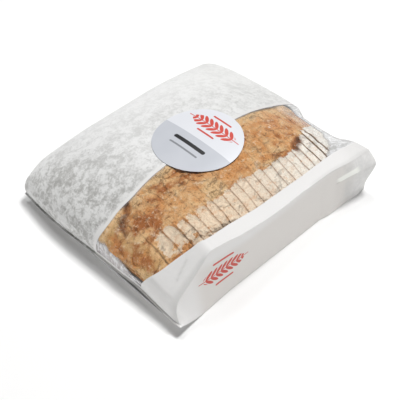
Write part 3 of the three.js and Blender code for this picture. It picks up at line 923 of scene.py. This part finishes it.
def flour_amount(x, y, z, share, depth):
    """Flour lies on the right shoulder, ragged above, patchy and parted by brown cuts near the front."""
    near = 1 - ease((x + 100) / 60)
    far = ease((x - 55) / 30)
    scallop = (0.8 + 1.6 * near + 2.2 * far) * (2 * share - 1) ** 2
    ragged = 2.6 * fractal(x / 11, y / 11, z / 11, 81, 3, 0.6)
    over = shoulder(x) - y - scallop + ragged
    band = ease((over + 4.0) / (9.0 - 4.0 * far)) * ease((z - 12) / 16)
    brown_cut = (0.40 + 0.5 * near + 0.4 * far) * (0.75 + 0.6 * noise(x / 9, y / 6, z / 6, 89))
    cuts = 1 - brown_cut * peak(depth, 0.8 + 0.5 * near)
    gaps = ease(fractal(x / 8, y / 10, z / 10, 87, 2) / 0.5 + 0.35)
    patchy = 1 - (0.24 + 0.36 * near) * (1 - 0.5 * far) * gaps
    spots = ease((fractal(x / 24, y / 20, z / 20, 91, 2) - 0.25) / 0.4)
    start = ease((x + 117) / 7) * (1 - near * ease((over - 24) / 8))
    return clamp01(band * patchy * cuts * start + spots * 0.2)


def bake_amount(x, y, z):
    """Dark baking along the lip and in patches of the crown, and how deep the tears and hollows are."""
    over = y - shoulder(x)
    lip = peak(over - 4, 5.0) * (0.65 + 0.35 * noise(x / 17, 0 * x, 0 * x, 111))
    near = np.exp(-(((x + 90) / 26) ** 2) - ((y + 38 - 0.25 * (x + 90)) / 15) ** 2)
    ragged = ease(0.5 + 0.9 * fractal(x / 13, y / 9, z / 13, 127, 4, 0.65))
    patches = ease((fractal(x / 26, y / 14, z / 26, 121, 4, 0.6) - 0.02) / 0.35)
    far = np.exp(-(((x - 92) / 26) ** 2) - ((y + 22) / 14) ** 2)
    deep = np.maximum(near_line(x, y, TEARS, 2.0), near_line(x, y, HOLLOW, 3.6))
    return clamp01(0.40 * lip + (0.85 * near + 0.45 * far) * ragged + 0.55 * patches), deep


def cut_planes():
    """Where the slicer cut: even steps with a little wander, fanned at the far end."""
    rng = np.random.default_rng(7)
    planes = [(LOAF_NEAR_X, 0.0)]
    inner = SLICE_COUNT - 2
    for i in range(inner + 1):
        t = i / inner
        wander = rng.uniform(-KERF_WANDER, KERF_WANDER)
        slant = -FAN * float(ease((t - FAN_FROM) / (1 - FAN_FROM)))
        planes.append((mix(LOAF_NEAR_X + HEEL, LOAF_FAR_X - HEEL, t) + wander, slant))
    planes.append((LOAF_FAR_X, 0.0))
    return planes


def cap(ring, index, outward):
    """Rings that close a cut face in to its centre, with the pits of the crumb."""
    middle_x = ring[:, 0].mean()
    centre = np.array([middle_x, LOAF_Y, LOAF_WIDEST_Z + 8])
    made = []
    for share in CAP_SHARES:
        p = centre + (ring - centre) * share
        p[:, 0] = mix(middle_x, ring[:, 0], share)
        pits = 0.35 * noise(p[:, 1] / 3, p[:, 2] / 3, index * 9 + outward, 101)
        p[:, 0] -= outward * np.maximum(0.0, pits) * (share < 0.95)
        made.append(p)
    return made, centre


def build_slice(index, front, back):
    """One slice: a crust band between two cuts, and a porous crumb face at each cut."""
    # Angles bunch over the crown, where the window shows them.
    t = np.arange(AROUND) / AROUND
    a = 2 * math.pi * (t - 0.06 * np.sin(4 * math.pi * t) / 2)
    is_near, is_far = front[0] == LOAF_NEAR_X, back[0] == LOAF_FAR_X
    whole = is_near or is_far
    f = np.linspace(0, 1, END_RINGS if whole else SLICE_RINGS)
    if is_near:
        f = f**1.7
    elif is_far:
        f = 1 - (1 - f) ** 1.7
    else:
        f = 0.5 * f + 0.5 * (1 - np.cos(math.pi * f)) / 2
    rings = []
    painted = {name: [] for name in ("flour", "bake", "deep", "height", "cut")}
    tilt = 0.012 * math.sin(index * 2.3)
    for share in f:
        # The two ends start half a millimetre in.
        x0 = mix(front[0] + 0.5 * is_near, back[0] - 0.5 * is_far, share) + 0 * a
        y, z = loaf_points(x0, a)
        relief = crag(x0, y, z) * ease(min(x0[0] - LOAF_NEAR_X, LOAF_FAR_X - x0[0]) / CRAG_FADE)
        ny, nz = (y - LOAF_Y), (z - LOAF_WIDEST_Z) * 1.4
        length = np.maximum(np.hypot(ny, nz), 1e-6)
        # How far the nearest cut is.
        edge = min(share + is_near, 1 - share + is_far)
        depth = (back[0] - front[0]) * edge
        open_right = ease((shoulder(x0) + 4 - y) / 10) * ease((z - 18) / 20)
        outer = np.maximum(1 - ease((x0 + 90) / 50), ease((x0 - 60) / 30))
        round_off = (0.06 + (0.45 + 0.45 * outer) * open_right) * math.exp(-((depth / 1.3) ** 2))
        lift = relief - round_off + (0.1 + 0.5 * open_right) * math.sin(index * 1.7)
        y = y + ny / length * lift
        z = z + nz / length * lift
        # Between slices the cut is a hairline on the crown and opens on the shoulder.
        fanned = ease((x0 - 70) / 25)
        gap = 0.03 + (0.10 + 0.08 * math.sin(index * 2.9) + 0.45 * fanned) * open_right
        z = soft_min(z, bag_top(x0, y) - LOAF_ROOM, 2.0)
        y = np.maximum(y, station(x0)["crease_y"] + 2.5)
        z = np.maximum(z, 0.9)
        slant = mix(front[1], back[1], share)
        push = 0.0
        if not is_near:
            push = push + gap * (1 - share) ** 3
        if not is_far:
            push = push - gap * share**3
        waver = mix(noise(y / 13, z / 13, 0 * y + index, 151) * (not is_near),
                    noise(y / 13, z / 13, 0 * y + index + 1, 151) * (not is_far), share)
        x = x0 + slant * (z - LOAF_WIDEST_Z) + tilt * (y - LOAF_Y) * 0.15 + push + 0.8 * waver
        rings.append(warp(x, y, z))
        bake, deep = bake_amount(x0, y, z)
        inner_cut = not (is_near and share < 0.5) and not (is_far and share > 0.5)
        painted["flour"].append(flour_amount(x0, y, z, 0.5 if whole else share, depth))
        painted["bake"].append(bake)
        painted["deep"].append(deep)
        painted["height"].append(clamp01(0.5 + (relief - 0.4) / 5.0))
        painted["cut"].append((0.35 + 0.65 * open_right) * math.exp(-((depth / 0.5) ** 2)) * inner_cut)

    front_caps, front_centre = cap(rings[0], index, -1)
    back_caps, back_centre = cap(rings[-1], index, 1)
    order = front_caps[::-1] + rings + back_caps
    verts = np.concatenate(order + [[front_centre], [back_centre]])
    faces = grid_faces(range(AROUND), len(order), AROUND)
    last = (len(order) - 1) * AROUND
    for i in range(AROUND):
        j = (i + 1) % AROUND
        faces.append((len(verts) - 2, j, i))
        faces.append((len(verts) - 1, last + i, last + j))
    obj = make_object(f"loaf_slice_{index:02d}", verts, faces)
    # The cut faces are crumb, the band and the loaf's own ends are crust.
    n_cap = len(CAP_SHARES) * AROUND
    crumb = np.ones(len(verts))
    crumb[n_cap:n_cap + len(rings) * AROUND] = 0.0
    if is_near:
        crumb[:n_cap] = 0.0
        crumb[-2] = 0.0
    if is_far:
        crumb[n_cap + len(rings) * AROUND:-2] = 0.0
        crumb[-1] = 0.0
    zero = np.zeros(n_cap)
    put_attribute(obj, "crumb", crumb)
    for name, values in painted.items():
        put_attribute(obj, name, np.concatenate([zero, *values, zero, np.zeros(2)]))
    fix_normals(obj)
    obj.data.materials.append(BREAD)
    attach(obj, "root")
    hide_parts(f"slice_{index:02d}")
    return obj


def flakes_tree(material):
    """Scatters small flat flakes over a mesh, by its flake attribute, and lays them on its surface."""
    tree = bpy.data.node_groups.new("crust_flakes", "GeometryNodeTree")
    face = tree.interface
    face.new_socket("Crust", in_out="INPUT", socket_type="NodeSocketGeometry")
    for name in ("Density", "Smallest", "Largest", "Flatness"):
        face.new_socket(name, in_out="INPUT", socket_type="NodeSocketFloat")
    face.new_socket("Seed", in_out="INPUT", socket_type="NodeSocketInt")
    face.new_socket("Flakes", in_out="OUTPUT", socket_type="NodeSocketGeometry")

    def add(kind, inputs=None, **settings):
        return add_node(tree, kind, inputs, **settings)

    given = add("NodeGroupInput").outputs
    where = add("GeometryNodeInputNamedAttribute", {"Name": "flake"}, data_type="FLOAT").outputs["Attribute"]
    density = add("ShaderNodeMath", {0: given["Density"], 1: where}, operation="MULTIPLY").outputs[0]
    spread = {"Mesh": given["Crust"], "Density": density, "Seed": given["Seed"]}
    scatter = add("GeometryNodeDistributePointsOnFaces", spread, distribute_method="RANDOM").outputs
    flake = add("GeometryNodeMeshIcoSphere", {"Radius": 1.0, "Subdivisions": 1}).outputs["Mesh"]
    size = add("FunctionNodeRandomValue", {2: given["Smallest"], 3: given["Largest"], "Seed": given["Seed"]},
               data_type="FLOAT").outputs[1]
    stretch = add("FunctionNodeRandomValue", {0: (0.7, 0.7, 0.7), 1: (1.3, 1.3, 1.3), "Seed": 11},
                  data_type="FLOAT_VECTOR").outputs[0]
    scaled = add("ShaderNodeVectorMath", {0: stretch, "Scale": size}, operation="SCALE").outputs[0]
    flat = add("ShaderNodeCombineXYZ", {0: 1.0, 1: 1.0, 2: given["Flatness"]}).outputs[0]
    scale = add("ShaderNodeVectorMath", {0: scaled, 1: flat}, operation="MULTIPLY").outputs[0]
    placed = add("GeometryNodeInstanceOnPoints", {"Points": scatter["Points"], "Instance": flake,
                                                  "Rotation": scatter["Rotation"], "Scale": scale}).outputs[0]
    real = add("GeometryNodeRealizeInstances", {0: placed}).outputs[0]
    painted = add("GeometryNodeSetMaterial", {"Geometry": real, "Material": material}).outputs[0]
    tree.links.new(painted, add("NodeGroupOutput").inputs[0])
    return tree


def set_inputs(modifier, **values):
    """Sets a tree's named inputs on a modifier by their identifiers."""
    for item in modifier.node_group.interface.items_tree:
        if item.in_out == "INPUT" and item.name in values:
            modifier[item.identifier] = values[item.name]


def build_flakes(slices):
    """Loose flakes of crust and clots of flour, lying on the loaf where the window shows it."""
    work = bmesh.new()
    for piece in slices:
        work.from_mesh(piece.data)
    crumb_layer = work.verts.layers.float["crumb"]
    flour_layer = work.verts.layers.float["flour"]
    gone = [f for f in work.faces if f.normal.z < 0.15 or any(v[crumb_layer] > 0.5 for v in f.verts)]
    bmesh.ops.delete(work, geom=gone, context="FACES")
    flake_layer = work.verts.layers.float.new("flake")
    for v in work.verts:
        x, y = v.co.x / MM - SHIFT_X, v.co.y / MM - SHIFT_Y
        shown = ease((-8 - y) / 4) * ease((y + 106) / 6)
        v[flake_layer] = float(shown) * (0.15 + 0.85 * v[flour_layer])
    mesh = bpy.data.meshes.new("crust_top")
    work.to_mesh(mesh)
    work.free()
    obj = add_to_scene("crust_flakes", mesh)
    modifier = obj.modifiers.new("flakes", "NODES")
    modifier.node_group = flakes_tree(BREAD)
    set_inputs(modifier, Density=260000.0, Smallest=0.25 * MM, Largest=0.75 * MM, Flatness=0.45, Seed=5)
    obj.data.update()
    apply_modifiers(obj)
    obj.data.polygons.foreach_set("use_smooth", [True] * len(obj.data.polygons))
    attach(obj, "root")
    return obj


def build_stage():
    """Floor, lights and camera."""
    mesh = bpy.data.meshes.new("floor")
    corners = [(sx * FLOOR_HALF, sy * FLOOR_HALF, 0) for sx, sy in ((-1, -1), (1, -1), (1, 1), (-1, 1))]
    mesh.from_pydata(corners, [], [(0, 1, 2, 3)])
    floor = add_to_scene("floor", mesh)
    g = Graph("floor_white")
    shader = g.node("ShaderNodeBsdfPrincipled", {
        "Base Color": FLOOR_WHITE, "Roughness": 0.9, "Specular IOR Level": 0.0,
        "Emission Color": (1, 1, 1, 1), "Emission Strength": FLOOR_GLOW})
    mesh.materials.append(g.finish(shader.outputs[0]))
    floor.location.z = FLOOR_Z

    for name, place, size, power in LIGHTS:
        light = bpy.data.lights.new(name, "AREA")
        light.energy = power
        light.shape = "RECTANGLE"
        light.size, light.size_y = size
        obj = add_to_scene(name, light)
        obj.location = place
        obj.rotation_mode = "QUATERNION"
        obj.rotation_quaternion = (Vector(LIGHT_TARGET) - Vector(place)).to_track_quat("-Z", "Y")

    world = bpy.data.worlds.new("studio")
    bpy.context.scene.world = world
    world.use_nodes = True
    world.node_tree.nodes["Background"].inputs[0].default_value = (1, 1, 1, 1)
    world.node_tree.nodes["Background"].inputs[1].default_value = WORLD_STRENGTH

    angles = (CAMERA_AZIMUTH, CAMERA_ELEVATION, CAMERA_ROLL)
    azimuth, elevation, roll = (math.radians(v) for v in angles)
    back = Vector((math.sin(azimuth) * math.cos(elevation), -math.cos(azimuth) * math.cos(elevation),
                   math.sin(elevation)))
    right = Vector((0, 0, 1)).cross(back).normalized()
    up = back.cross(right)
    tilted_right = math.cos(roll) * right + math.sin(roll) * up
    tilted_up = back.cross(tilted_right)
    rotation = Matrix((tilted_right, tilted_up, back)).transposed()
    camera = add_to_scene("camera", bpy.data.cameras.new("camera"))
    camera.data.sensor_width = SENSOR
    camera.data.lens = LENS
    place = Vector(CAMERA_TARGET) + back * CAMERA_DISTANCE
    camera.matrix_world = Matrix.Translation(place) @ rotation.to_4x4()
    bpy.context.scene.camera = camera
    bpy.context.scene.view_settings.view_transform = "Standard"


BREAD = bread_material()
build_stage()
build_bag()
build_film()
build_label()
planes = cut_planes()
slices = [build_slice(k + 1, planes[k], planes[k + 1]) for k in range(SLICE_COUNT)]
build_flakes(slices)
